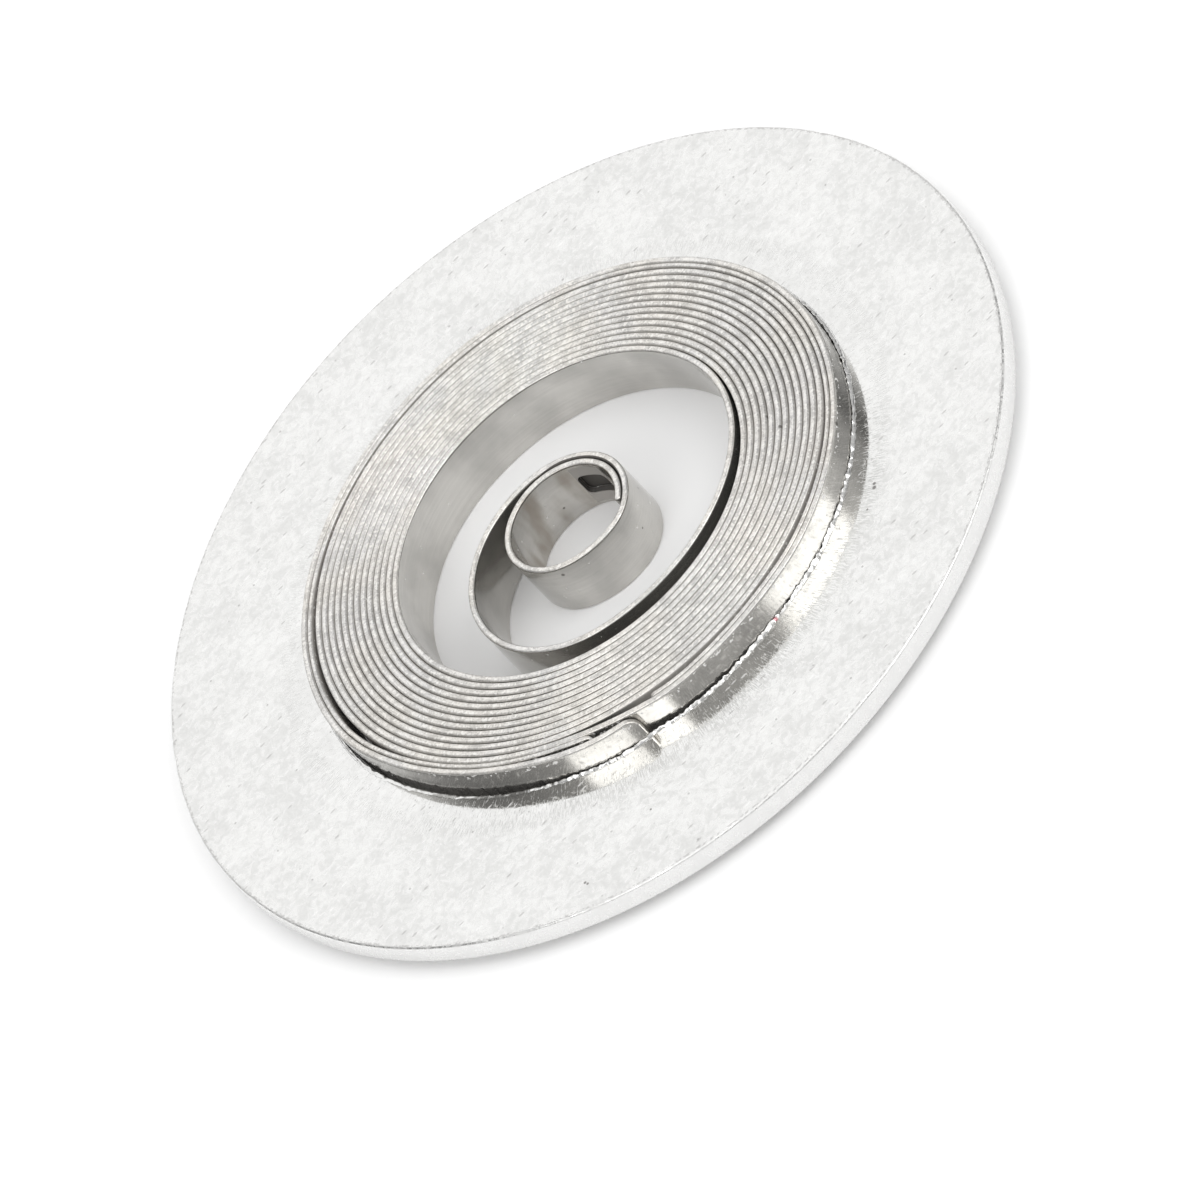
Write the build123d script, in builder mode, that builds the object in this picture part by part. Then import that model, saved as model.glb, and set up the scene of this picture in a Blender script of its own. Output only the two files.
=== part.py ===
from build123d import *
from math import cos, radians, sin, sqrt
import os
import numpy as np

os.makedirs("parts", exist_ok=True)

# A wound watch mainspring, held in the hole of a flat washer until it is fitted.
# Millimetres. The origin is on the washer's axis, at the spring's foot, with +Z up.
# Seen from above, the strip winds outwards counter-clockwise.

full_turn = 360
quarter_turn = full_turn / 4

# Holding washer, with the raised lip that punching leaves round its hole
washer_radius = 9.0
washer_thickness = 0.45
washer_edge = 0.06
hole_radius = 5.79
lip_height = 0.08
lip_width = 0.04
foot_below_washer = 0.21

# Spring strip
strip_height = 1.24
strip_thickness = 0.12
turn_gap = 0.0245
pitch = strip_thickness + turn_gap

# Slip bridle, the loose strip that lies inside the outermost turn
bridle_thickness = 0.1
bridle_gap = 0.0125
bridle_corner = 0.12

# The turns aren't quite round: the two quarters that face along oval_angle and
# away from it are sharper by the amount given as oval, and the two between flatter.
oval_angle = 325
flat_angle = oval_angle - quarter_turn

# Outermost turn, which lies against the wall of the hole at its two sharper quarters
wall_gap = 0.02
ring_oval = 0.06
ring_reach = hole_radius - wall_gap - strip_thickness / 2
ring_radius = ring_reach - (sqrt(2) - 1) * ring_oval

# Tongue, the outer end of the strip, which springs out towards the wall
tongue_gap = 0.087
tongue_bend = 3.34
tongue_peak_angle = 604
tongue_tip_angle = 619
tongue_rounding = 0.28

# Stations of the outermost turn, as the facing of the arc that is cut there, in degrees
tongue_root_angle = 598
tongue_middle_angle = 589
hug_start_angle = 580
hug_end_angle = 570
ring_end_angle = 536
ring_start_angle = 300
shelf_start_angle = 274
shelf_end_angle = 266
shelf_drop = 0.1
ramp_end_angle = 230
bridle_start_angle = 248
bridle_end_angle = 238.6

# Pack of turns, which sits a little off the axis and leans on the bridle
quarter_count = 50
pack_play = 0.025
pack_oval = 0.125
pack_offset = 0.107
pack_offset_angle = 11
pack_drift = 0.004

# Free turn between the pack and the eye: it leaves the pack on a tighter arc, runs
# low across the open middle on a flatter one, and closes on the eye over two more.
free_lead_step = 0.685
free_lead_sweep = 54
free_low_step = 0.13
free_low_sweep = 65
free_side_sweep = 165.5
free_close_sweep = 49

# Eye, the innermost coil, with the slot that the arbor's hook catches
eye_radius = 1.13
eye_x = -0.04
eye_y = 0.14
eye_gap = 0.035
eye_outer_sweep = 75.5
eye_step_sweep = 80
eye_sweep = 281
slot_length = 0.72
slot_height = 0.52
slot_corner = 0.13
slot_from_tip_angle = 78

bridle_lift = (strip_thickness + bridle_thickness) / 2 + bridle_gap


def toward(angle, length=1.0):
    return Vector(cos(radians(angle)), sin(radians(angle))) * length


# A path is a list of arcs (centre, radius, start angle, end angle), each tangent to
# the one before it, so its centre follows from its radius and the angle they share.
def add_arc(path, radius, end):
    centre, last_radius, _, start = path[-1]
    path.append((centre + toward(start, last_radius - radius), radius, start, end))


# Two arcs that carry the strip from the last arc's circle onto another circle.
def ease_onto(path, centre, radius, middle, end):
    last_centre, last_radius, _, start = path[-1]
    angles = np.radians([start, middle, end])
    shift = centre - last_centre
    steps = np.linalg.solve(
        [np.cos(angles), np.sin(angles), np.ones(3)], [shift.X, shift.Y, last_radius - radius]
    )
    add_arc(path, last_radius - steps[0], middle)
    add_arc(path, last_radius - steps[0] - steps[1], end)


# The quarter-th quarter circle of an oval whose first quarter is a flat one.
def quarter_radius(mean, oval, quarter):
    return mean + (oval, -oval)[quarter % 2]


def quarter_centre(middle, oval, quarter, facing):
    return middle + toward(facing, (-sqrt(2) * oval, sqrt(2) * oval)[quarter % 2])


# The same arc, moved sideways and cut to another span.
def beside(arc, offset, start, end):
    centre, radius, _, _ = arc
    return centre, radius + offset, start, end


def strip_outline(path, thickness):
    for side in (-thickness / 2, thickness / 2):
        for centre, radius, start, end in path:
            CenterArc(centre, radius + side, end % full_turn, start - end)
    first_centre, first_radius, first_angle, _ = path[0]
    last_centre, last_radius, _, last_angle = path[-1]
    for centre, radius, angle in (
        (first_centre, first_radius, first_angle),
        (last_centre, last_radius, last_angle),
    ):
        Line(
            centre + toward(angle, radius - thickness / 2),
            centre + toward(angle, radius + thickness / 2),
        )


# Path of the spring strip, from the tongue's tip inwards to the eye.
axis = Vector(0, 0)
pack_radius = ring_reach - 2 * bridle_lift - pack_play
pack_centre = axis + toward(pack_offset_angle, pack_offset)
pack_first_radius = quarter_radius(pack_radius, pack_oval, 0)
pack_first_centre = quarter_centre(pack_centre, pack_oval, 0, flat_angle)

tongue_reach = hole_radius - tongue_gap - strip_thickness / 2
tongue_centre = axis + toward(tongue_peak_angle, tongue_reach - tongue_bend)
spring_path = [(tongue_centre, tongue_bend, tongue_tip_angle, tongue_root_angle)]
hug_radius = pack_first_radius + 2 * bridle_lift
ease_onto(spring_path, pack_first_centre, hug_radius, tongue_middle_angle, hug_start_angle)
add_arc(spring_path, hug_radius, hug_end_angle)
ring_index = len(spring_path)

ring_first = quarter_radius(ring_radius, ring_oval, 1)
ring_first_centre = quarter_centre(axis, ring_oval, 1, flat_angle - quarter_turn)
ring_middle_angle = (hug_end_angle + ring_end_angle) / 2
ease_onto(spring_path, ring_first_centre, ring_first, ring_middle_angle, ring_end_angle)
ring_joint = oval_angle + full_turn / 2 - quarter_turn / 2
add_arc(spring_path, ring_first, ring_joint)
add_arc(spring_path, quarter_radius(ring_radius, ring_oval, 2), ring_joint - quarter_turn)
add_arc(spring_path, quarter_radius(ring_radius, ring_oval, 3), ring_start_angle)

shelf_radius = ring_radius - shelf_drop
drop_middle_angle = (ring_start_angle + shelf_start_angle) / 2
ease_onto(spring_path, axis, shelf_radius, drop_middle_angle, shelf_start_angle)
add_arc(spring_path, shelf_radius, shelf_end_angle)
ramp_middle_angle = (shelf_end_angle + ramp_end_angle) / 2
ease_onto(
    spring_path, pack_first_centre, pack_first_radius, ramp_middle_angle, ramp_end_angle
)
pack_index = len(spring_path)

pack_joint = flat_angle - quarter_turn / 2
for quarter in range(quarter_count + 1):
    turn_radius = pack_radius - quarter * pitch / 4 - (0, 0, pack_drift, pack_drift)[quarter % 4]
    add_arc(
        spring_path,
        quarter_radius(turn_radius, pack_oval, quarter),
        pack_joint - quarter * quarter_turn,
    )

pack_end = pack_joint - quarter_count * quarter_turn
pack_last_radius = spring_path[-1][1]
add_arc(spring_path, pack_last_radius - free_lead_step, pack_end - free_lead_sweep)
free_low_end = pack_end - free_lead_sweep - free_low_sweep
add_arc(spring_path, pack_last_radius - free_low_step, free_low_end)

eye_centre = Vector(eye_x, eye_y)
eye_inner_layer = eye_radius + strip_thickness / 2
eye_outer_layer = eye_inner_layer + strip_thickness + eye_gap
free_side_end = free_low_end - free_side_sweep
eye_joint = free_side_end - free_close_sweep
ease_onto(spring_path, eye_centre, eye_outer_layer, free_side_end, eye_joint)
step_start = eye_joint - eye_outer_sweep
add_arc(spring_path, eye_outer_layer, step_start)
step_end = step_start - eye_step_sweep
ease_onto(spring_path, eye_centre, eye_inner_layer, (step_start + step_end) / 2, step_end)
eye_tip = step_end - eye_sweep
add_arc(spring_path, eye_inner_layer, eye_tip)

# Path of the bridle. Its outer end lies on the turn that ramps out below the tongue,
# and from there round to its inner end it lines the outermost turn.
bridle_joint = ramp_end_angle + full_turn
bridle_path = [
    beside(
        spring_path[pack_index - 1], bridle_lift, bridle_end_angle + full_turn, bridle_joint
    ),
    beside(spring_path[pack_index], bridle_lift, bridle_joint, hug_end_angle),
]
for centre, radius, start, end in spring_path[ring_index:]:
    if start <= bridle_start_angle:
        break
    bridle_path.append((centre, radius - bridle_lift, start, max(end, bridle_start_angle)))

# Washer: one turned profile, with its edge broken outside and the lip inside.
washer_top = foot_below_washer + washer_thickness
with BuildPart() as washer:
    with BuildSketch(Plane.XZ) as washer_profile:
        with BuildLine():
            Polyline(
                (hole_radius, washer_top + lip_height),
                (hole_radius, foot_below_washer),
                (washer_radius, foot_below_washer),
                (washer_radius, washer_top),
                (hole_radius + lip_width, washer_top),
                close=True,
            )
        make_face()
        chamfer(washer_profile.vertices().group_by(Axis.X)[-1], length=washer_edge)
    revolve(axis=Axis.Z)
washer.part.label = "holding_washer"

# Slot cutter: a rounded bar that stops inside the eye's innermost layer.
slot_angle = eye_tip + slot_from_tip_angle
slot_plane = Plane(
    origin=eye_centre + Vector(0, 0, strip_height / 2),
    x_dir=toward(slot_angle + quarter_turn),
    z_dir=toward(slot_angle),
)
with BuildPart() as slot_cutter:
    with BuildSketch(slot_plane):
        RectangleRounded(slot_length, slot_height, slot_corner)
    extrude(amount=eye_outer_layer)
    with Locations(eye_centre):
        Cylinder(
            eye_radius + strip_thickness + eye_gap / 2,
            strip_height,
            align=(Align.CENTER, Align.CENTER, Align.MIN),
            mode=Mode.INTERSECT,
        )

# Spring: the strip on edge, with its tongue rounded and the slot through its eye.
with BuildPart() as spring:
    with BuildSketch():
        with BuildLine():
            strip_outline(spring_path, strip_thickness)
        make_face()
    extrude(amount=strip_height)
    tip_centre, tip_radius, tip_angle, _ = spring_path[0]
    tip_face = spring.faces().sort_by_distance(
        tip_centre + toward(tip_angle, tip_radius) + Vector(0, 0, strip_height / 2)
    )[0]
    tip_edges = tip_face.edges().group_by(Axis.Z)
    fillet(tip_edges[0] + tip_edges[-1], radius=tongue_rounding)
    add(slot_cutter.part, mode=Mode.SUBTRACT)
spring.part.label = "mainspring"

with BuildPart() as bridle:
    with BuildSketch():
        with BuildLine():
            strip_outline(bridle_path, bridle_thickness)
        make_face()
    extrude(amount=strip_height)
    for end_centre, end_radius, end_angle in (
        (bridle_path[0][0], bridle_path[0][1], bridle_path[0][2]),
        (bridle_path[-1][0], bridle_path[-1][1], bridle_path[-1][3]),
    ):
        end_face = bridle.faces().sort_by_distance(
            end_centre + toward(end_angle, end_radius) + Vector(0, 0, strip_height / 2)
        )[0]
        end_edges = end_face.edges().group_by(Axis.Z)
        fillet(end_edges[0] + end_edges[-1], radius=bridle_corner)
bridle.part.label = "slip_bridle"

export_step(washer.part, "parts/holding_washer.step")
export_step(spring.part, "parts/mainspring.step")
export_step(bridle.part, "parts/slip_bridle.step")
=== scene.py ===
import math
import bmesh
import bpy
import numpy as np
from mathutils import Matrix, Vector, noise


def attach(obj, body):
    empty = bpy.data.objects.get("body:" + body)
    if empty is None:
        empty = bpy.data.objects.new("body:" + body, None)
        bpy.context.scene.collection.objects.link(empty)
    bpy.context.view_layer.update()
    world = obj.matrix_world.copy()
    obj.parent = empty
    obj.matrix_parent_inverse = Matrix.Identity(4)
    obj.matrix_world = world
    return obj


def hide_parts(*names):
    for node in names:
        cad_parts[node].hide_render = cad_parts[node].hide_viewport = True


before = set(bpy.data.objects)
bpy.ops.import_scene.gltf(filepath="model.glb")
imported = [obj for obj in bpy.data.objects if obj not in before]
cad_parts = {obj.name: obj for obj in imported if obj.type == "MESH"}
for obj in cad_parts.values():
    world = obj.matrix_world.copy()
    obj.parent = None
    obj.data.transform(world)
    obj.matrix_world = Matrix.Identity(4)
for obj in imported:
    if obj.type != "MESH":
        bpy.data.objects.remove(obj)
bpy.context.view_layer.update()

mm = 0.001
fullTurn = 360
smoothUpTo = 40  # edges that bend by fewer degrees are shaded smooth
roundFrom = 50  # and those that bend by more are bevelled
reliefDepth = 0.00001  # how deep a material's bumps are, in metres
speckWander = 0.00002  # how far a speck's outline wanders, in metres

# the path of the wound strip, in millimetres and degrees
winding = {
    "holeRadius": 5.79, "wallGap": 0.02, "height": 1.24, "thickness": 0.12, "turnGap": 0.0245,
    "bridleThickness": 0.1, "bridleGap": 0.0125,
    "ovalAngle": 325, "ringOval": 0.06, "packOval": 0.125,
    "tongueGap": 0.087, "tongueBend": 3.34, "tonguePeak": 604, "tongueTip": 619,
    "tongueRoot": 598, "tongueMiddle": 589, "hugStart": 580, "hugEnd": 570,
    "ringEnd": 536, "ringStart": 300, "shelfStart": 274, "shelfEnd": 266, "shelfDrop": 0.1,
    "rampEnd": 230, "bridleStart": 248, "bridleEnd": 238.6,
    "quarterCount": 50, "packPlay": 0.025, "packOffset": 0.107, "packOffsetAngle": 11, "packDrift": 0.004,
    "freeLeadStep": 0.685, "freeLeadSweep": 54, "freeLowStep": 0.13, "freeLowSweep": 65,
    "freeSideSweep": 165.5, "freeCloseSweep": 49,
    "eyeRadius": 1.13, "eyeX": -0.04, "eyeY": 0.14, "eyeGap": 0.035,
    "eyeOuterSweep": 75.5, "eyeStepSweep": 80, "eyeSweep": 281,
    "fuller": 0.014,  # how much thicker the strip is here than in the solid
}


def toward(angle, length=1.0):
    return Vector((math.cos(math.radians(angle)), math.sin(math.radians(angle)), 0)) * length


def addArc(path, radius, end):  # an arc tangent to the one before it
    centre, lastRadius, _, start = path[-1]
    path.append((centre + toward(start, lastRadius - radius), radius, start, end))


def easeOnto(path, centre, radius, middle, end):  # two arcs onto another circle
    lastCentre, lastRadius, _, start = path[-1]
    angles = np.radians([start, middle, end])
    shift = centre - lastCentre
    steps = np.linalg.solve([np.cos(angles), np.sin(angles), np.ones(3)],
                            [shift.x, shift.y, lastRadius - radius])
    addArc(path, lastRadius - float(steps[0]), middle)
    addArc(path, lastRadius - float(steps[0] + steps[1]), end)


def ovalRadius(mean, oval, quarter):
    return mean + (oval, -oval)[quarter % 2]


def ovalCentre(middle, oval, quarter, facing):
    return middle + toward(facing, (-oval, oval)[quarter % 2] * math.sqrt(2))


def windStrip(w):
    quarterTurn = fullTurn / 4
    axis = Vector((0, 0, 0))
    pitch = w["thickness"] + w["turnGap"]
    lift = (w["thickness"] + w["bridleThickness"]) / 2 + w["bridleGap"]
    reach = w["holeRadius"] - w["wallGap"] - w["thickness"] / 2
    ringRadius = reach - (math.sqrt(2) - 1) * w["ringOval"]
    flatAngle = w["ovalAngle"] - quarterTurn
    packRadius = reach - 2 * lift - w["packPlay"]
    packCentre = toward(w["packOffsetAngle"], w["packOffset"])
    firstRadius = ovalRadius(packRadius, w["packOval"], 0)
    firstCentre = ovalCentre(packCentre, w["packOval"], 0, flatAngle)
    tongueReach = w["holeRadius"] - w["tongueGap"] - w["thickness"] / 2
    tongueCentre = toward(w["tonguePeak"], tongueReach - w["tongueBend"])
    path = [(tongueCentre, w["tongueBend"], w["tongueTip"], w["tongueRoot"])]
    easeOnto(path, firstCentre, firstRadius + 2 * lift, w["tongueMiddle"], w["hugStart"])
    addArc(path, firstRadius + 2 * lift, w["hugEnd"])
    ringIndex = len(path)
    ringFirst = ovalRadius(ringRadius, w["ringOval"], 1)
    ringCentre = ovalCentre(axis, w["ringOval"], 1, flatAngle - quarterTurn)
    easeOnto(path, ringCentre, ringFirst, (w["hugEnd"] + w["ringEnd"]) / 2, w["ringEnd"])
    ringJoint = w["ovalAngle"] + fullTurn / 2 - quarterTurn / 2
    addArc(path, ringFirst, ringJoint)
    addArc(path, ovalRadius(ringRadius, w["ringOval"], 2), ringJoint - quarterTurn)
    addArc(path, ovalRadius(ringRadius, w["ringOval"], 3), w["ringStart"])
    shelfRadius = ringRadius - w["shelfDrop"]
    easeOnto(path, axis, shelfRadius, (w["ringStart"] + w["shelfStart"]) / 2, w["shelfStart"])
    addArc(path, shelfRadius, w["shelfEnd"])
    easeOnto(path, firstCentre, firstRadius, (w["shelfEnd"] + w["rampEnd"]) / 2, w["rampEnd"])
    packIndex = len(path)
    packJoint = flatAngle - quarterTurn / 2
    for quarter in range(w["quarterCount"] + 1):
        drift = (0, 0, w["packDrift"], w["packDrift"])[quarter % 4]
        radius = ovalRadius(packRadius - quarter * pitch / 4 - drift, w["packOval"], quarter)
        addArc(path, radius, packJoint - quarter * quarterTurn)
    lastRadius = path[-1][1]
    freeStart = path[-1][3]
    addArc(path, lastRadius - w["freeLeadStep"], freeStart - w["freeLeadSweep"])
    addArc(path, lastRadius - w["freeLowStep"], path[-1][3] - w["freeLowSweep"])
    eyeCentre = Vector((w["eyeX"], w["eyeY"], 0))
    innerLayer = w["eyeRadius"] + w["thickness"] / 2
    outerLayer = innerLayer + w["thickness"] + w["eyeGap"]
    sideEnd = path[-1][3] - w["freeSideSweep"]
    easeOnto(path, eyeCentre, outerLayer, sideEnd, sideEnd - w["freeCloseSweep"])
    addArc(path, outerLayer, path[-1][3] - w["eyeOuterSweep"])
    stepStart = path[-1][3]
    easeOnto(path, eyeCentre, innerLayer, stepStart - w["eyeStepSweep"] / 2, stepStart - w["eyeStepSweep"])
    addArc(path, innerLayer, path[-1][3] - w["eyeSweep"])

    bridle = []
    for index, side, start, end in (
        (packIndex - 1, lift, w["bridleEnd"] + fullTurn, w["rampEnd"] + fullTurn),
        (packIndex, lift, w["rampEnd"] + fullTurn, w["hugEnd"]),
    ):
        centre, radius, _, _ = path[index]
        bridle.append((centre, radius + side, start, end))
    for centre, radius, start, end in path[ringIndex:]:
        if start <= w["bridleStart"]:
            break
        bridle.append((centre, radius - lift, start, max(end, w["bridleStart"])))
    return path, bridle


springPath, bridlePath = windStrip(winding)
print("strip path:", len(springPath), "arcs, bridle path:", len(bridlePath), "arcs")


def makeObject(name, bm):
    mesh = bpy.data.meshes.new(name)
    bm.to_mesh(mesh)
    bm.free()
    piece = bpy.data.objects.new(name, mesh)
    bpy.context.scene.collection.objects.link(piece)
    return piece


def addModifier(piece, kind, **settings):
    modifier = piece.modifiers.new(kind.lower(), kind)
    for setting, value in settings.items():
        setattr(modifier, setting, value)


def applyModifiers(piece):
    finished = bpy.data.meshes.new_from_object(piece.evaluated_get(bpy.context.evaluated_depsgraph_get()))
    piece.modifiers.clear()
    piece.data = finished


def shadeSmooth(piece):
    bm = bmesh.new()
    bm.from_mesh(piece.data)
    bmesh.ops.recalc_face_normals(bm, faces=bm.faces[:])
    for face in bm.faces:
        face.smooth = True
    for edge in bm.edges:
        edge.smooth = edge.calc_face_angle(0) < math.radians(smoothUpTo)
    bm.to_mesh(piece.data)
    bm.free()


def roundCorners(bm, corners, offset, steps):
    bmesh.ops.bevel(bm, geom=corners, offset=offset, offset_type="OFFSET", affect="VERTICES",
                    segments=steps, profile=0.5, material=-1)


# A ribbon on edge: one upright line, spun along each arc of a path. Its points know how far along they are.
# A row of points just inside each long edge keeps the broad face flat in the light.
def spinRibbon(path, height, flatFrom, stepDegrees, cornerRadius, cornerSteps, bothEnds=False):
    bm = bmesh.new()
    along = bm.verts.layers.float.new("along")
    pieces = []
    for index, (centre, radius, start, end) in enumerate(path):
        corner = math.degrees(cornerRadius / radius)
        if index == 0:  # fine steps where the first corners are rounded
            pieces.append((centre, radius, start, start - corner, cornerSteps))
            start -= corner
        stop = end
        if bothEnds and index == len(path) - 1:
            stop = end + corner
        pieces.append((centre, radius, start, stop, max(2, round((start - stop) / stepDegrees))))
        if stop != end:
            pieces.append((centre, radius, stop, end, cornerSteps))
    centre, radius, start, _, _ = pieces[0]
    foot = centre + toward(start, radius)
    heights = (0, flatFrom, height - flatFrom, height)
    rows = [bm.verts.new((foot + Vector((0, 0, z))) * mm) for z in heights]
    last = rows + [bm.edges.new(pair) for pair in zip(rows, rows[1:])]
    distances = [0]
    for centre, radius, start, end, steps in pieces:
        last = bmesh.ops.spin(bm, geom=last, cent=centre * mm, axis=(0, 0, 1), dvec=(0, 0, 0),
                              angle=math.radians(end - start), steps=steps, use_merge=False,
                              use_normal_flip=False, use_duplicate=False)["geom_last"]
        stride = math.radians(start - end) * radius / steps
        distances += [distances[-1] + stride * (step + 1) for step in range(steps)]
    for index, vert in enumerate(bm.verts):
        reached = distances[index // len(rows)]
        vert[along] = reached
        into = cornerRadius - (min(reached, distances[-1] - reached) if bothEnds else reached)
        if into > 0:  # the corners are rounded
            cut = cornerRadius - math.sqrt(cornerRadius ** 2 - into ** 2)
            vert.co.z += cut * mm if vert.co.z < height * mm / 2 else -cut * mm
    bmesh.ops.recalc_face_normals(bm, faces=bm.faces[:])
    return bm


def thicken(piece, thickness, s):  # gives a ribbon its thickness, and rounds its edges
    addModifier(piece, "SOLIDIFY", thickness=thickness * mm, offset=0, use_even_offset=True)
    addModifier(piece, "BEVEL", width=s["edgeRound"] * mm, segments=s["roundSteps"], limit_method="ANGLE",
                angle_limit=math.radians(roundFrom), use_clamp_overlap=False)


def bentBar(name, length, height, corner, depth, centre, radius, facing):  # a rounded bar curved to an arc
    slices, cornerSteps = 24, 8
    bm = bmesh.new()
    bm.faces.new([bm.verts.new((x * length / 2, y * height / 2, -depth / 2))
                  for x, y in ((-1, -1), (1, -1), (1, 1), (-1, 1))])
    roundCorners(bm, bm.verts[:], corner, cornerSteps)
    for cut in range(1, slices):
        bmesh.ops.bisect_plane(bm, geom=bm.verts[:] + bm.edges[:] + bm.faces[:], dist=1e-6,
                               plane_co=((cut / slices - 0.5) * length, 0, 0), plane_no=(1, 0, 0))
    grown = bmesh.ops.extrude_face_region(bm, geom=bm.faces[:])["geom"]
    bmesh.ops.translate(bm, verts=[v for v in grown if isinstance(v, bmesh.types.BMVert)], vec=(0, 0, depth))
    for vert in bm.verts:
        x, y, z = vert.co
        spot = centre + toward(facing + math.degrees(x / radius), radius + z)
        vert.co = Vector((spot.x, spot.y, centre.z + y)) * mm
    if bm.calc_volume(signed=True) < 0:
        bmesh.ops.reverse_faces(bm, faces=bm.faces[:])
    return makeObject(name, bm)


class Nodes:  # a node tree and short ways to fill it
    def __init__(self, tree):
        self.tree = tree
        tree.nodes.clear()

    def add(self, kind, inputs=None, **settings):
        node = self.tree.nodes.new(kind)
        for setting, value in settings.items():
            setattr(node, setting, value)
        for socket, value in (inputs or {}).items():
            self.put(node.inputs[socket], value)
        return node

    def put(self, socket, value):
        if isinstance(value, bpy.types.NodeSocket):
            self.tree.links.new(value, socket)
        else:
            socket.default_value = value

    def math(self, operation, *values):
        return self.add("ShaderNodeMath", dict(enumerate(values)), operation=operation).outputs[0]

    def times(self, first, second):
        return self.math("MULTIPLY", first, second)

    def plus(self, first, second):
        return self.math("ADD", first, second)

    def minus(self, first, second):
        return self.math("SUBTRACT", first, second)

    def larger(self, first, second):
        return self.math("MAXIMUM", first, second)

    def share(self, *parts):  # the sum of some values, each times its share
        products = [self.times(value, share) for value, share in parts]
        total = products[0]
        for product in products[1:]:
            total = self.plus(total, product)
        return total

    def vector(self, operation, *values):
        outputs = self.add("ShaderNodeVectorMath", dict(enumerate(values)), operation=operation).outputs
        return outputs["Value" if operation in ("LENGTH", "DISTANCE", "DOT_PRODUCT") else "Vector"]

    def combine(self, x, y):
        return self.add("ShaderNodeCombineXYZ", {"X": x, "Y": y}).outputs[0]

    def clampRange(self, value, low, high, toLow=0.0, toHigh=1.0):
        return self.add("ShaderNodeMapRange", {"Value": value, "From Min": low, "From Max": high,
                                               "To Min": toLow, "To Max": toHigh},
                        interpolation_type="SMOOTHSTEP").outputs[0]

    def fade(self, value, full, gone, strength=1.0):
        return self.clampRange(value, full, gone, strength, 0.0)

    def mix(self, factor, first, second, blend="MIX"):
        node = self.add("ShaderNodeMix", data_type="RGBA", blend_type=blend)
        for index, value in ((0, factor), (6, first), (7, second)):
            self.put(node.inputs[index], value)
        return node.outputs[2]

    def paint(self, mask, under, colour):
        return self.mix(mask, under, colour + (1,))

    def shade(self, colour, tone):
        return self.mix(1.0, colour, tone, "MULTIPLY")

    def noise(self, vector, scale, detail=2.0, roughness=0.5, distortion=0.0):
        return self.add("ShaderNodeTexNoise", {"Vector": vector, "Scale": scale, "Detail": detail,
                                               "Roughness": roughness, "Distortion": distortion}).outputs[0]

    def cells(self, vector, scale):  # the distance to the nearest cell's middle, and that cell's own number
        outputs = self.add("ShaderNodeTexVoronoi", {"Vector": vector, "Scale": scale}).outputs
        own = self.add("ShaderNodeSeparateColor", {"Color": outputs["Color"]}).outputs[0]
        return outputs["Distance"], own

    def group(self, group, **inputs):
        node = self.add("ShaderNodeGroup", node_tree=group)
        for socket, value in inputs.items():
            self.put(node.inputs[socket], value)
        return node.outputs


def newGroup(name, inputs, outputs):
    group = bpy.data.node_groups.new(name, "ShaderNodeTree")
    nodes = Nodes(group)
    for socket, (kind, value) in inputs.items():
        made = group.interface.new_socket(socket, in_out="INPUT", socket_type="NodeSocket" + kind)
        if value is not None:
            made.default_value = value
    for socket in outputs:
        group.interface.new_socket(socket, in_out="OUTPUT", socket_type="NodeSocketFloat")
    start = nodes.add("NodeGroupInput").outputs
    end = nodes.add("NodeGroupOutput").inputs
    return group, nodes, start, end


def newMaterial(name):
    material = bpy.data.materials.new(name)
    material.use_nodes = True
    nodes = Nodes(material.node_tree)
    shader = nodes.add("ShaderNodeBsdfPrincipled")
    nodes.add("ShaderNodeOutputMaterial", {"Surface": shader.outputs[0]})
    return material, nodes, shader.inputs


def makeGrain():  # fine metal grain: a tone from 0 to 1, a mask of glints for painted highlights, and a height for bumps
    group, nodes, start, end = newGroup(
        "metalGrain", {"Vector": ("Vector", None), "Scale": ("Float", 1.0), "Glints": ("Float", 0.3)},
        ["Tone", "Glint", "Height"])
    fine = nodes.noise(start["Vector"], start["Scale"], detail=4.0, roughness=0.65)
    coarse = nodes.noise(start["Vector"], nodes.times(start["Scale"], 0.17), detail=3.0)
    distance, own = nodes.cells(start["Vector"], nodes.times(start["Scale"], 0.8))
    edge = nodes.minus(1.0, start["Glints"])
    nodes.put(end["Tone"], nodes.clampRange(nodes.share((fine, 0.6), (coarse, 0.4)), 0.3, 0.7))
    nodes.put(end["Glint"], nodes.clampRange(own, edge, nodes.plus(edge, 0.08)))
    nodes.put(end["Height"], nodes.share((fine, 0.7), (distance, 0.3)))
    return group


def makeSpecks():  # sparse small marks, such as dirt and nicks
    group, nodes, start, end = newGroup(
        "specks", {"Vector": ("Vector", None), "Scale": ("Float", 1.0), "Amount": ("Float", 0.1),
                   "Size": ("Float", 0.2)}, ["Mask"])
    warp = nodes.add("ShaderNodeTexNoise", {"Vector": start["Vector"],
                                            "Scale": nodes.times(start["Scale"], 5.0)})
    shift = nodes.add("ShaderNodeVectorMath", {0: warp.outputs["Color"], "Scale": speckWander},
                      operation="SCALE")
    place = nodes.vector("ADD", start["Vector"], shift.outputs[0])
    distance, own = nodes.cells(place, start["Scale"])
    spot = nodes.fade(distance, nodes.times(start["Size"], 0.5), start["Size"])
    nodes.put(end["Mask"], nodes.times(nodes.math("LESS_THAN", own, start["Amount"]), spot))
    return group


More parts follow.
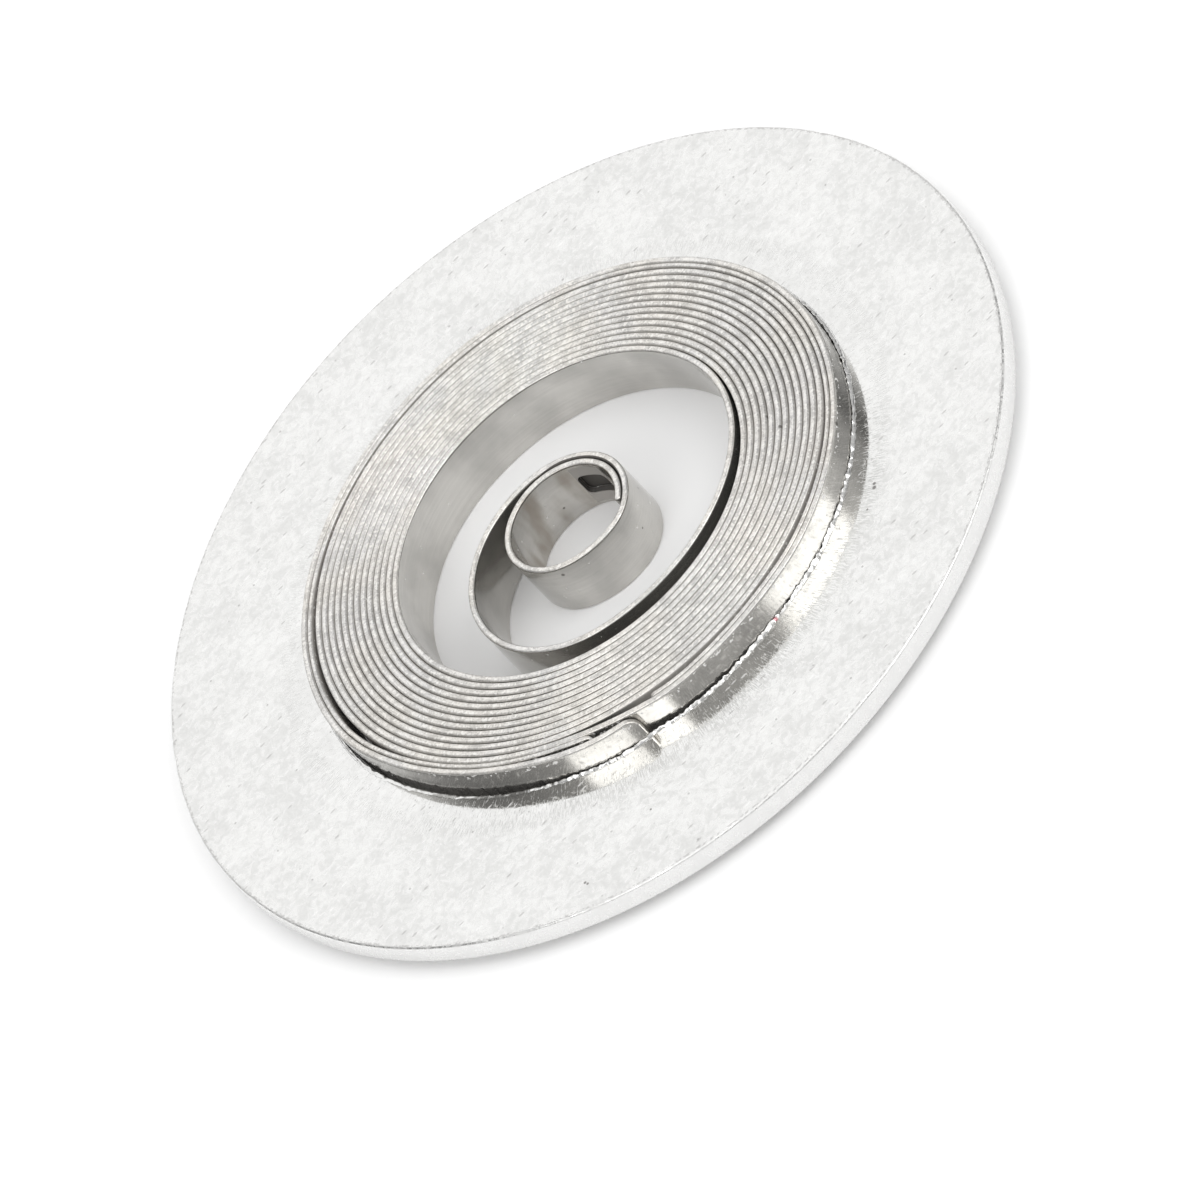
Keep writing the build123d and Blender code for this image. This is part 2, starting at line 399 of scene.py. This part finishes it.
def makeWear():  # rubbed-bright edges: a mask that frays with noise
    group, nodes, start, end = newGroup(
        "edgeWear", {"Vector": ("Vector", None), "Scale": ("Float", 1.0), "Edge": ("Float", 0.0),
                     "Fray": ("Float", 0.5)}, ["Mask"])
    ragged = nodes.noise(start["Vector"], start["Scale"], detail=3.0, roughness=0.6)
    frayed = nodes.plus(start["Edge"], nodes.times(nodes.minus(ragged, 0.5), start["Fray"]))
    nodes.put(end["Mask"], nodes.clampRange(frayed, 0.4, 0.6))
    return group


metalGrain, specks, edgeWear = makeGrain(), makeSpecks(), makeWear()


def speckMask(nodes, place, kind):  # a kind is cells to the metre, the part of them that shows, and the size
    perMetre, amount, size = kind
    return nodes.group(specks, Vector=place, Scale=perMetre, Amount=amount, Size=size)["Mask"]


def scuffMask(nodes, place, kind):  # short scuffs: a turn in radians, a stretch, and then a kind of speck
    turn, stretch, *speck = kind
    lying = nodes.add("ShaderNodeMapping", {"Vector": place, "Rotation": (0, 0, turn),
                                            "Scale": (stretch, 1, 1)})
    return speckMask(nodes, lying.outputs[0], speck)


def roundSpot(nodes, place, spot, size, core, strength):  # fades from its core outwards
    away = nodes.vector("DISTANCE", place, [value * mm for value in spot])
    return nodes.fade(away, size * core * mm, size * mm, strength)


def drawnLines(nodes, along, across, stretch, perMetre):  # fine lines that run the length of the strip
    return nodes.noise(nodes.combine(nodes.times(along, stretch), nodes.times(across, perMetre)), 1.0,
                       detail=3.0, roughness=0.6)


def surfaceInputs(nodes):  # a point's place, axes, place without its height, radius, normal and rise
    place = nodes.add("ShaderNodeTexCoord").outputs["Object"]
    axes = nodes.add("ShaderNodeSeparateXYZ", {"Vector": place}).outputs
    flat = nodes.combine(axes["X"], axes["Y"])
    normal = nodes.add("ShaderNodeNewGeometry").outputs["Normal"]
    upward = nodes.add("ShaderNodeSeparateXYZ", {"Vector": normal}).outputs["Z"]
    return place, axes, flat, nodes.vector("LENGTH", flat), normal, upward


def addRelief(nodes, shader, height, strength):
    bump = nodes.add("ShaderNodeBump", {"Height": height, "Strength": strength, "Distance": reliefDepth})
    nodes.put(shader["Normal"], bump.outputs[0])


view = {
    "lens": 900, "distance": 547.06, "elevation": 39.65, "roll": -44.19,
    "aim": (0, 0, -0.453), "slide": (-0.3082, -0.5799),
    "clipStart": 0.01, "clipEnd": 10,  # in metres
}


def makeCamera(v):
    elevation, roll = math.radians(v["elevation"]), math.radians(v["roll"])
    back = Vector((0, -math.cos(elevation), math.sin(elevation)))
    right = Vector((1, 0, 0))
    up = back.cross(right)
    across = math.cos(roll) * right + math.sin(roll) * up
    upright = -math.sin(roll) * right + math.cos(roll) * up
    place = Vector(v["aim"]) + back * v["distance"] + across * v["slide"][0] + upright * v["slide"][1]
    camera = bpy.data.objects.new("camera", bpy.data.cameras.new("camera"))
    camera.data.lens = v["lens"]
    camera.data.clip_start = v["clipStart"]
    camera.data.clip_end = v["clipEnd"]
    turned = Matrix((across, upright, back)).transposed().to_4x4()
    camera.matrix_world = Matrix.Translation(place * mm) @ turned
    bpy.context.scene.collection.objects.link(camera)
    bpy.context.scene.camera = camera


makeCamera(view)

washer = {
    "radius": 9.0, "bottom": 0.21, "top": 0.66, "margin": 0.02, "steps": 1000,
    "edgeRound": 0.06, "edgeSteps": 5, "edgeRagged": 0.005, "dents": (3000, 9000),
    "lipTop": 0.735, "lipOut": 0.06, "lipRound": 0.012, "lipSteps": 2,
    "lipRagged": 0.05, "dips": (6000, 16000), "notches": 11000, "leastGap": 0.003, "leanSpread": 7,
    # the burr leans in towards the strip: degrees round the hole, then the gap that stays
    "lipClears": [(0, 0.02), (175, 0.02), (188, 0.05), (198, 0.07), (214, 0.085), (222, 0.085), (236, 0.03),
                  (242, 0.014), (252, 0.014), (256, 0.075), (262, 0.055), (274, 0.03), (284, 0.003),
                  (345, 0.003), (360, 0.02)],
    # and it fades out on one side: degrees, then the part of its height that is left
    "lipHeights": [(0, 1), (176, 1), (188, 0.12), (224, 0.12), (236, 0.8), (255, 0.8), (285, 1), (360, 1)],
    # the wall's colour on the next line is painted shade, for the shade in the narrow gap between the hole's
    # wall and the strip
    "colour": (0.97, 0.968, 0.955), "shade": (0.79, 0.788, 0.775), "wallShade": (0.3, 0.29, 0.28),
    "scuffedLight": (0.995, 0.99, 0.98), "scuffedDark": (0.42, 0.41, 0.40), "rubbed": (0.99, 0.985, 0.97),
    # the side's colour on the next line is painted shade: the washer's side is coloured darker than its top
    "shadedSideColour": (0.8, 0.798, 0.79), "nickColour": (0.2, 0.19, 0.18), "redColour": (0.6, 0.12, 0.16),
    "roughPits": 0.4, "polishedSpots": 0.22, "burnishedTo": 6.45, "burnishedFade": 0.3, "relief": 0.26,
    # heights over the top face, then distances from the rim and from the hole
    "lipWorn": (0.004, 0.03), "rimWorn": (0.12, 0.03), "sideFrom": 0.03, "endLine": 0.022,
    "wallFades": (0.002, 0.01), "wallBelow": 0.03, "hatchFrom": 0.25,
    "hatchesRound": 260,  # to the radian, and the rest to the metre
    "hatchesAcross": 5000, "grain": 26000, "strokes": 6000, "clouds": 900, "wear": 14000,
    "lightScuffs": (0.9, 0.3, 9000, 0.3, 0.26), "darkScuffs": (0.35, 0.35, 8000, 0.2, 0.24),
    "marks": (2500, 0.6, 0.08),
    # nicks in the top face, and a red mark on the burr: x, y and size in millimetres
    "nicks": [(4.35, -4.79, 0.055), (4.40, -4.71, 0.045), (3.98, -5.10, 0.03), (-4.37, -7.09, 0.04),
              (-4.35, -7.16, 0.035), (-2.6, -6.9, 0.03)],
    "redMark": (1.41, -5.54, 0.055),
}


def stripReach(facing):  # how far out the wound strip stands at an angle
    ray = toward(facing)
    reach = 0
    for centre, radius, start, end in springPath:
        forward = centre.dot(ray)
        distance = forward + math.sqrt(radius ** 2 - centre.length_squared + forward ** 2)
        hit = ray * distance - centre
        angle = math.degrees(math.atan2(hit.y, hit.x))
        angle += fullTurn * math.ceil((end - angle) / fullTurn)
        if angle <= start:
            reach = max(reach, distance)
    return reach + (winding["thickness"] + winding["fuller"]) / 2


def lipLean(w):  # how far the burr leans in, all the way round
    angles = np.arange(w["steps"]) * fullTurn / w["steps"]
    room = np.array([winding["holeRadius"] - stripReach(angle) for angle in angles])
    lean = np.clip(room - np.interp(angles, *zip(*w["lipClears"])), 0, None)
    spread = range(-w["leanSpread"], w["leanSpread"] + 1)
    smoothed = np.mean([np.roll(lean, shift) for shift in spread], axis=0)
    return np.minimum(smoothed, np.clip(room - w["leastGap"], 0, None))


def makeWasher(w):
    bm = bmesh.new()
    hole = winding["holeRadius"]
    burrFoot = hole + w["lipOut"] + w["margin"]
    flatOut = w["radius"] - w["edgeRound"] - w["margin"]
    outline = [(hole, w["bottom"]), (flatOut, w["bottom"]), (w["radius"], w["bottom"]),
               (w["radius"], w["top"]), (flatOut, w["top"]), (burrFoot, w["top"]),
               (hole + w["lipOut"], w["top"]), (hole + w["lipOut"] / 3, w["lipTop"]), (hole, w["lipTop"])]
    corners = [bm.verts.new((x * mm, 0, z * mm)) for x, z in outline]
    bm.faces.new(corners)
    roundCorners(bm, corners[2:4], w["edgeRound"] * mm, w["edgeSteps"])
    lipCorners = [corner for corner in corners if corner.is_valid and corner.co.z > w["top"] * mm]
    roundCorners(bm, lipCorners, w["lipRound"] * mm, w["lipSteps"])
    bmesh.ops.delete(bm, geom=bm.faces[:], context="FACES_ONLY")
    bmesh.ops.spin(bm, geom=bm.verts[:] + bm.edges[:], cent=(0, 0, 0), axis=(0, 0, 1), dvec=(0, 0, 0),
                   angle=math.tau, steps=w["steps"], use_merge=True,
                   use_normal_flip=False, use_duplicate=False)
    bmesh.ops.remove_doubles(bm, verts=bm.verts[:], dist=0.0005 * mm)
    lean = lipLean(w)
    print("burr leans in by up to", round(float(lean.max()), 3), "mm")
    slack = 0.001
    for vert in bm.verts:
        facing = math.degrees(math.atan2(vert.co.y, vert.co.x)) % fullTurn
        radius = vert.co.xy.length / mm
        if vert.co.z > (w["top"] - slack) * mm and radius < burrFoot + slack:  # the burr is uneven
            dip = 0
            if vert.co.z > (w["top"] + slack) * mm:
                slow, fast = [noise.noise(vert.co * scale) for scale in w["dips"]]
                dip = max(0, slow * 0.5 + fast + 0.45) * w["lipRagged"]
            burr = float(np.interp(facing, *zip(*w["lipHeights"])))
            vert.co.z = w["top"] * mm + burr * max(0, vert.co.z - (w["top"] + dip) * mm)
            notch = max(0, noise.noise(vert.co * w["notches"]) - 0.05) * w["lipRagged"]
            leaning = lean[round(facing / fullTurn * w["steps"]) % w["steps"]]
            vert.co -= toward(facing, (leaning - min(notch, max(leaning, 0))) * mm)
        elif radius > w["radius"] - w["edgeRound"] / 2 and vert.co.z > (w["top"] - w["edgeRound"]) * mm:
            slow, fast = [noise.noise(vert.co * scale) for scale in w["dents"]]  # and so is the outer edge
            dent = max(0, slow + fast * 0.6) * w["edgeRagged"]
            vert.co -= toward(facing, dent * mm)
            vert.co.z -= dent * mm
    bmesh.ops.recalc_face_normals(bm, faces=bm.faces[:])
    piece = makeObject("holdingWasher", bm)
    shadeSmooth(piece)
    return piece


def makeWasherMetal(w):
    material, nodes, shader = newMaterial("tumbledWasherMetal")
    place, axes, flat, radius, _, upward = surfaceInputs(nodes)
    hole = winding["holeRadius"]
    # round the hole the metal is burnished; further out, polished high spots stand among rough pits
    burnished = nodes.fade(radius, w["burnishedTo"] * mm, (w["burnishedTo"] + w["burnishedFade"]) * mm)
    grain = nodes.group(metalGrain, Vector=place, Scale=w["grain"], Glints=0.16)
    strokes = nodes.noise(place, w["strokes"], detail=4.0, roughness=0.65, distortion=0.8)
    strokes = nodes.clampRange(strokes, 0.34, 0.66)
    cloud = nodes.clampRange(nodes.noise(place, w["clouds"], detail=5.0, roughness=0.6), 0.35, 0.65)
    tone = nodes.share((strokes, 0.42), (cloud, 0.28), (grain["Tone"], 0.3))
    colour = nodes.mix(tone, w["shade"] + (1,), w["colour"] + (1,))
    # scuffs, light ones and dark ones, each kind lying its own way
    lightScuffs = scuffMask(nodes, place, w["lightScuffs"])
    darkScuffs = scuffMask(nodes, place, w["darkScuffs"])
    colour = nodes.paint(nodes.times(darkScuffs, 0.46), colour, w["scuffedDark"])
    colour = nodes.paint(nodes.times(lightScuffs, 0.7), colour, w["scuffedLight"])
    nicked = nodes.times(speckMask(nodes, place, w["marks"]), 0.4)
    for x, y, size in w["nicks"]:
        nicked = nodes.larger(nicked, roundSpot(nodes, place, (x, y, w["top"]), size, 0.5, 0.8))
    colour = nodes.paint(nicked, colour, w["nickColour"])
    # the burr round the hole and the outer edge are rubbed bright
    lip = nodes.clampRange(axes["Z"], *[(w["top"] + above) * mm for above in w["lipWorn"]])
    rim = nodes.times(nodes.clampRange(radius, *[(w["radius"] - inside) * mm for inside in w["rimWorn"]]),
                      nodes.clampRange(upward, 0.1, 0.6))
    edge = nodes.larger(lip, nodes.times(rim, 0.45))
    worn = nodes.group(edgeWear, Vector=place, Scale=w["wear"], Edge=edge, Fray=0.9)["Mask"]
    colour = nodes.paint(worn, colour, w["rubbed"])
    x, y, size = w["redMark"]
    colour = nodes.paint(roundSpot(nodes, flat, (x, y, 0), size, 0.4, 0.75), colour, w["redColour"])
    # painted shade: the washer's side is coloured darker than its top face
    side = nodes.times(nodes.clampRange(radius, (w["radius"] - w["sideFrom"]) * mm, w["radius"] * mm),
                       nodes.fade(upward, 0.1, 0.5))
    colour = nodes.paint(side, colour, w["shadedSideColour"])
    # a broken dark line where the top face ends
    ends = nodes.math("COMPARE", radius, (w["radius"] - w["edgeRound"]) * mm, w["endLine"] * mm)
    broken = nodes.clampRange(nodes.noise(place, w["wear"], detail=3.0, roughness=0.6), 0.5, 0.56)
    dotted = nodes.times(nodes.times(ends, broken), nodes.times(0.45, nodes.clampRange(upward, 0.5, 0.8)))
    colour = nodes.paint(dotted, colour, w["scuffedDark"])
    # painted shade on the wall of the hole: a dark colour for the shade in the narrow gap beside the strip
    shadedHoleWall = nodes.times(nodes.fade(radius, *[(hole + outside) * mm for outside in w["wallFades"]]),
                         nodes.fade(upward, 0.3, 0.5))
    shadedHoleWall = nodes.times(shadedHoleWall, nodes.fade(axes["Z"], (w["top"] - w["wallBelow"]) * mm, w["top"] * mm))
    nodes.put(shader["Base Color"], nodes.paint(shadedHoleWall, colour, w["wallShade"]))
    nodes.put(shader["Metallic"], 1.0)
    # fine hatching that runs out from the hole
    turned = nodes.times(nodes.math("ARCTAN2", axes["Y"], axes["X"]), w["hatchesRound"])
    outward = nodes.combine(turned, nodes.times(radius, w["hatchesAcross"]))
    hatch = nodes.noise(outward, 1.0, detail=2.0, roughness=0.6)
    matt = nodes.clampRange(tone, 0.3, 0.7, w["roughPits"], w["polishedSpots"])
    thicker = nodes.clampRange(radius, (hole + w["hatchFrom"]) * mm, w["burnishedTo"] * mm, 0.0, 0.13)
    bright = nodes.clampRange(nodes.plus(hatch, thicker), 0.54, 0.68, 0.035, 0.5)
    bright = nodes.larger(bright, nodes.times(lightScuffs, 0.6))
    rough = nodes.share((burnished, bright), (nodes.minus(1.0, burnished), matt))
    nodes.put(shader["Roughness"], nodes.plus(rough, nodes.times(worn, 0.25)))
    height = nodes.share((strokes, 0.6), (grain["Height"], 0.4), (nodes.minus(lightScuffs, darkScuffs), 0.4))
    height = nodes.times(height, nodes.minus(1.0, nodes.times(burnished, 0.85)))
    height = nodes.plus(height, nodes.times(nodes.times(hatch, burnished), nodes.times(burnished, 0.25)))
    addRelief(nodes, shader, height, w["relief"])
    return material


washerPiece = makeWasher(washer)
washerPiece.data.materials.append(makeWasherMetal(washer))
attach(washerPiece, "root")
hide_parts("holding_washer")
print("holding washer:", len(washerPiece.data.polygons), "faces")

strip = {
    "edgeRound": 0.042, "flatFrom": 0.06, "roundSteps": 3, "stepDegrees": 2.4,
    "tongueCorner": 0.28, "cornerSteps": 8,
    "slotLength": 0.72, "slotHeight": 0.52, "slotCorner": 0.13, "slotDepth": 0.155, "slotFromTip": 78,
    "faceColour": (0.58, 0.567, 0.54), "edgeColour": (0.88, 0.85, 0.80), "edgeTint": (0.86, 0.845, 0.82),
    # the glint colour on the next line is a painted highlight, for glinting grains on the edges
    "glintHighlightColour": (0.99, 0.97, 0.93), "dustColour": (0.97, 0.96, 0.94), "fleckColour": (0.1, 0.09, 0.08),
    # the first colour on the next line is painted shade, a near black for the shaded gap between the eye's
    # two layers and the walls of the slot
    "slotShade": (0.1, 0.093, 0.085), "rust": (0.30, 0.26, 0.215), "film": (0.47, 0.45, 0.425),
    "roughness": 0.12, "haze": 0.1, "relief": 0.25,
    # the stretch and the number to the metre of the lines on the faces and on the long edges
    "faceLines": (0.35, 26000), "edgeLines": (2.5, 32000),
    # noises and specks to the metre
    "grain": 26000, "tints": 700, "patches": 800, "smears": 1900, "clings": 1500, "crumbs": 13000,
    "marks": (1300, 0.16, 0.07), "dust": (6500, 0.34, 0.17),
    # where the film is: degrees, then millimetres along the strip
    "wornSide": 230, "firstTurn": 35.8, "packLength": 396.3, "lastTurn": 24,
    # how far the other effects reach, in millimetres: the tongue's end, the eye, the slot and the crumbs
    "endLength": 0.5, "eyeInside": (0.01, 0.02), "layerShadeReach": 0.03, "slotReach": 0.055, "slotMargin": 0.03,
    "crumbDepth": 0.1, "crumbReach": 0.06, "crumbsFrom": (5.2, 5.5),
    # dark flecks on the eye: x, y, z and size in millimetres
    "flecks": [(-0.789, -0.87, 1.04, 0.05), (1.292, -0.328, 0.83, 0.03), (0.85, -0.955, 0.59, 0.03),
               (0.073, 1.257, 0.40, 0.035)],
}
bridle = {
    "edgeRound": 0.034, "flatFrom": 0.055, "roundSteps": 3, "stepDegrees": 2.4,
    "corner": 0.12, "cornerSteps": 6,
}


def makeStripSteel(s, w):
    material, nodes, shader = newMaterial("rolledStripSteel")
    place, axes, flat, across, normal, upward = surfaceInputs(nodes)
    along = nodes.add("ShaderNodeAttribute", attribute_name="along").outputs["Fac"]
    streaks = drawnLines(nodes, along, axes["Z"], *s["faceLines"])
    drawn = drawnLines(nodes, along, across, *s["edgeLines"])
    grain = nodes.group(metalGrain, Vector=place, Scale=s["grain"], Glints=0.2)
    onEdge = nodes.clampRange(nodes.math("ABSOLUTE", upward), 0.35, 0.75)
    # painted highlight: the bevel round the sheared end of the tongue gets the pale colour of the long
    # edges, a bright line along the end
    endways = nodes.vector("DOT_PRODUCT", normal, toward(springPath[0][2] + fullTurn / 4))
    endHighlight = nodes.times(nodes.clampRange(endways, 0.2, 0.5), nodes.math("LESS_THAN", along, s["endLength"]))
    onEdge = nodes.larger(onEdge, endHighlight)
    patches = nodes.noise(place, s["patches"], detail=4.0, roughness=0.55)
    face = nodes.shade(s["faceColour"] + (1,), nodes.clampRange(streaks, 0.3, 0.7, 0.95, 1.03))
    face = nodes.shade(face, nodes.clampRange(patches, 0.3, 0.7, 0.84, 1.12))
    tint = nodes.clampRange(nodes.noise(place, s["tints"], detail=3.0), 0.38, 0.62)
    edge = nodes.mix(tint, s["edgeColour"] + (1,), s["edgeTint"] + (1,))
    edge = nodes.shade(edge, nodes.clampRange(grain["Tone"], 0.0, 1.0, 0.72, 1.1))
    edge = nodes.shade(edge, nodes.clampRange(drawn, 0.3, 0.7, 0.84, 1.1))
    # painted highlights: random grains on the edges are coloured near white, as glints
    edge = nodes.paint(nodes.times(grain["Glint"], 0.8), edge, s["glintHighlightColour"])
    colour = nodes.mix(onEdge, face, edge)
    # brown smears inside the eye
    eyeMiddle = (w["eyeX"] * mm, w["eyeY"] * mm, 0)
    fromEye = nodes.vector("DISTANCE", flat, eyeMiddle)
    inEye = nodes.fade(fromEye, *[(w["eyeRadius"] + outside) * mm for outside in s["eyeInside"]])
    upright = nodes.add("ShaderNodeMapping", {"Vector": place, "Scale": (1, 1, 0.35)}).outputs[0]
    smear = nodes.noise(upright, s["smears"], detail=3.0, roughness=0.5)
    smear = nodes.clampRange(smear, 0.4, 0.66, 0.0, 0.75)
    colour = nodes.paint(nodes.times(inEye, smear), colour, s["rust"])
    # painted shade: a near black where the eye's two layers face each other across the gap, and on the walls
    # of the slot, seen through the slot
    inward = nodes.vector("DOT_PRODUCT", nodes.vector("SUBTRACT", flat, eyeMiddle), normal)
    outerLayer = w["eyeRadius"] + w["thickness"] + w["eyeGap"]
    between = nodes.times(nodes.math("COMPARE", fromEye, outerLayer * mm, s["layerShadeReach"] * mm),
                          nodes.math("LESS_THAN", inward, -0.5 * mm))
    innerMiddle = w["eyeRadius"] + w["thickness"] / 2
    slotHalf = s["slotHeight"] / 2 + s["slotMargin"]
    shadedSlotWall = nodes.times(nodes.math("COMPARE", fromEye, innerMiddle * mm, s["slotReach"] * mm),
                           nodes.math("COMPARE", axes["Z"], w["height"] / 2 * mm, slotHalf * mm))
    paintedSlotShade = nodes.larger(between, shadedSlotWall)
    colour = nodes.paint(nodes.times(paintedSlotShade, 0.95), colour, s["slotShade"])
    # a dull film on the faces that lie against each other in the pack, worn off on one side
    outward = nodes.vector("DOT_PRODUCT", flat, normal)
    fronts = nodes.times(nodes.math("GREATER_THAN", outward, 0),
                         nodes.math("LESS_THAN", along, s["packLength"]))
    fronts = nodes.times(fronts, nodes.math("GREATER_THAN", along, s["firstTurn"]))
    backs = nodes.times(nodes.math("LESS_THAN", outward, 0),
                        nodes.math("LESS_THAN", along, s["packLength"] - s["lastTurn"]))
    covered = nodes.times(nodes.larger(fronts, backs), nodes.minus(1.0, onEdge))
    toWorn = nodes.vector("DOT_PRODUCT", nodes.vector("NORMALIZE", flat), toward(s["wornSide"]))
    film = nodes.times(covered, nodes.fade(toWorn, 0.88, 0.975, 0.9))
    colour = nodes.paint(film, colour, s["film"])
    flecked = nodes.times(speckMask(nodes, place, s["marks"]), 0.7)
    for x, y, z, size in s["flecks"]:
        flecked = nodes.larger(flecked, roundSpot(nodes, place, (x, y, z), size, 0.4, 0.75))
    colour = nodes.paint(flecked, colour, s["fleckColour"])
    # bright dust that clings to the steel, and crumbs under the top edge of the outer turns
    clings = nodes.clampRange(nodes.noise(place, s["clings"], detail=2.0), 0.5, 0.6)
    dusty = nodes.times(speckMask(nodes, place, s["dust"]), clings)
    underTop = nodes.math("COMPARE", axes["Z"], (w["height"] - s["crumbDepth"]) * mm, s["crumbReach"] * mm)
    crumbs = nodes.clampRange(nodes.noise(place, s["crumbs"], detail=1.0), 0.62, 0.67)
    crumbs = nodes.times(crumbs, nodes.clampRange(across, *[out * mm for out in s["crumbsFrom"]]))
    dusty = nodes.larger(dusty, nodes.times(underTop, crumbs))
    nodes.put(shader["Base Color"], nodes.paint(dusty, colour, s["dustColour"]))
    dull = nodes.larger(nodes.larger(dusty, paintedSlotShade), film)
    nodes.put(shader["Metallic"], nodes.minus(1.0 - s["haze"], nodes.times(dull, 0.85)))
    rough = nodes.plus(nodes.plus(s["roughness"], nodes.times(onEdge, 0.22)), nodes.times(dull, 0.4))
    nodes.put(shader["Roughness"], nodes.plus(rough, nodes.times(streaks, 0.05)))
    height = nodes.share((streaks, 0.1), (nodes.times(grain["Height"], onEdge), 2.0))
    addRelief(nodes, shader, height, s["relief"])
    return material


def makeMainspring(w, s):
    bm = spinRibbon(springPath, w["height"], s["flatFrom"], s["stepDegrees"],
                    s["tongueCorner"], s["cornerSteps"])
    piece = makeObject("mainspringStrip", bm)
    thicken(piece, w["thickness"] + w["fuller"], s)
    cutter = bentBar("slotCutter", s["slotLength"], s["slotHeight"], s["slotCorner"], s["slotDepth"],
                     Vector((w["eyeX"], w["eyeY"], w["height"] / 2)), w["eyeRadius"] + w["thickness"] / 2,
                     springPath[-1][3] + s["slotFromTip"])
    addModifier(piece, "BOOLEAN", operation="DIFFERENCE", solver="EXACT", object=cutter)
    applyModifiers(piece)
    bpy.data.objects.remove(cutter)
    shadeSmooth(piece)
    return piece


def makeBridle(w, b):
    bm = spinRibbon(bridlePath, w["height"], b["flatFrom"], b["stepDegrees"], b["corner"], b["cornerSteps"],
                    bothEnds=True)
    piece = makeObject("slipBridleStrip", bm)
    thicken(piece, w["bridleThickness"], b)
    applyModifiers(piece)
    shadeSmooth(piece)
    return piece


stripSteel = makeStripSteel(strip, winding)
springPiece = makeMainspring(winding, strip)
bridlePiece = makeBridle(winding, bridle)
for piece, node in ((springPiece, "mainspring"), (bridlePiece, "slip_bridle")):
    piece.data.materials.clear()
    piece.data.materials.append(stripSteel)
    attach(piece, "root")
    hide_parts(node)
    print(piece.name + ":", len(piece.data.polygons), "faces")

studio = {
    "floorSize": 2.0, "floorDrop": 0.00001,  # in metres
    "floorColour": (0.95, 0.95, 0.95), "floorRoughness": 0.9,
    # the backdrop's own light, and the radii in millimetres between which it changes
    "glowInside": 0.05, "glowOutside": 0.24, "glowStart": 8.4, "glowFull": 9.4,
    "base": 0.42, "glowCore": 0.4,
    # soft glows of the tent: azimuth, elevation, half width in degrees, brightness
    "glows": [(90, 42, 48, 0.58), (0, 90, 45, 0.36), (270, 66, 30, 0.42), (150, 36, 42, -0.18),
              (44, 38, 19, -0.4), (344, 38, 21, 0.26), (34, 64, 20, -0.34)],
    # soft boxes: azimuth, elevation, half width, half height in degrees, brightness
    "boxes": {"rightBox": (321, 42, 20, 16, 2.1), "leftBox": (219, 42, 15, 15, 1.9)},
    "boxDistance": 1.2,
}


def makeFloor(s):
    bm = bmesh.new()
    bmesh.ops.create_grid(bm, x_segments=1, y_segments=1, size=s["floorSize"] / 2)
    bmesh.ops.translate(bm, verts=bm.verts[:], vec=(0, 0, -s["floorDrop"]))
    floor = makeObject("floor", bm)
    material, nodes, shader = newMaterial("whiteFloor")
    nodes.put(shader["Base Color"], s["floorColour"] + (1,))
    nodes.put(shader["Roughness"], s["floorRoughness"])
    nodes.put(shader["Specular IOR Level"], 0.0)
    seen = nodes.add("ShaderNodeLightPath").outputs
    shown = nodes.larger(seen["Is Camera Ray"], seen["Is Glossy Ray"])
    nodes.put(shader["Emission Color"], (1, 1, 1, 1))
    away = nodes.vector("LENGTH", nodes.add("ShaderNodeTexCoord").outputs["Object"])
    glow = nodes.clampRange(away, s["glowStart"] * mm, s["glowFull"] * mm, s["glowInside"], s["glowOutside"])
    nodes.put(shader["Emission Strength"], nodes.times(shown, glow))
    floor.data.materials.append(material)


def aimAt(azimuth, elevation):
    elevation = math.radians(elevation)
    return toward(azimuth, math.cos(elevation)) + Vector((0, 0, math.sin(elevation)))


def makeWorld(s):
    world = bpy.data.worlds.new("softTent")
    world.use_nodes = True
    bpy.context.scene.world = world
    nodes = Nodes(world.node_tree)
    direction = nodes.add("ShaderNodeTexCoord").outputs["Generated"]
    light = s["base"]
    for azimuth, elevation, width, gain in s["glows"]:
        near = nodes.vector("DOT_PRODUCT", direction, aimAt(azimuth, elevation))
        rim, core = math.cos(math.radians(width)), math.cos(math.radians(width * s["glowCore"]))
        light = nodes.plus(light, nodes.clampRange(near, rim, core, 0.0, gain))
    background = nodes.add("ShaderNodeBackground", {"Color": light, "Strength": 1.0})
    nodes.add("ShaderNodeOutputWorld", {"Surface": background.outputs[0]})


def makeBoxes(s):
    for name, (azimuth, elevation, wide, high, strength) in s["boxes"].items():
        data = bpy.data.lights.new(name, "AREA")
        data.shape = "RECTANGLE"
        data.size = 2 * s["boxDistance"] * math.tan(math.radians(wide))
        data.size_y = 2 * s["boxDistance"] * math.tan(math.radians(high))
        data.energy = strength * math.pi * data.size * data.size_y
        lamp = bpy.data.objects.new(name, data)
        aim = aimAt(azimuth, elevation)
        lamp.location = aim * s["boxDistance"]
        lamp.rotation_euler = aim.to_track_quat("Z", "Y").to_euler()
        bpy.context.scene.collection.objects.link(lamp)


makeBoxes(studio)
makeFloor(studio)
makeWorld(studio)
print("studio:", len(studio["glows"]), "glows and", len(studio["boxes"]), "soft boxes")
bpy.context.scene.view_settings.view_transform = "Standard"
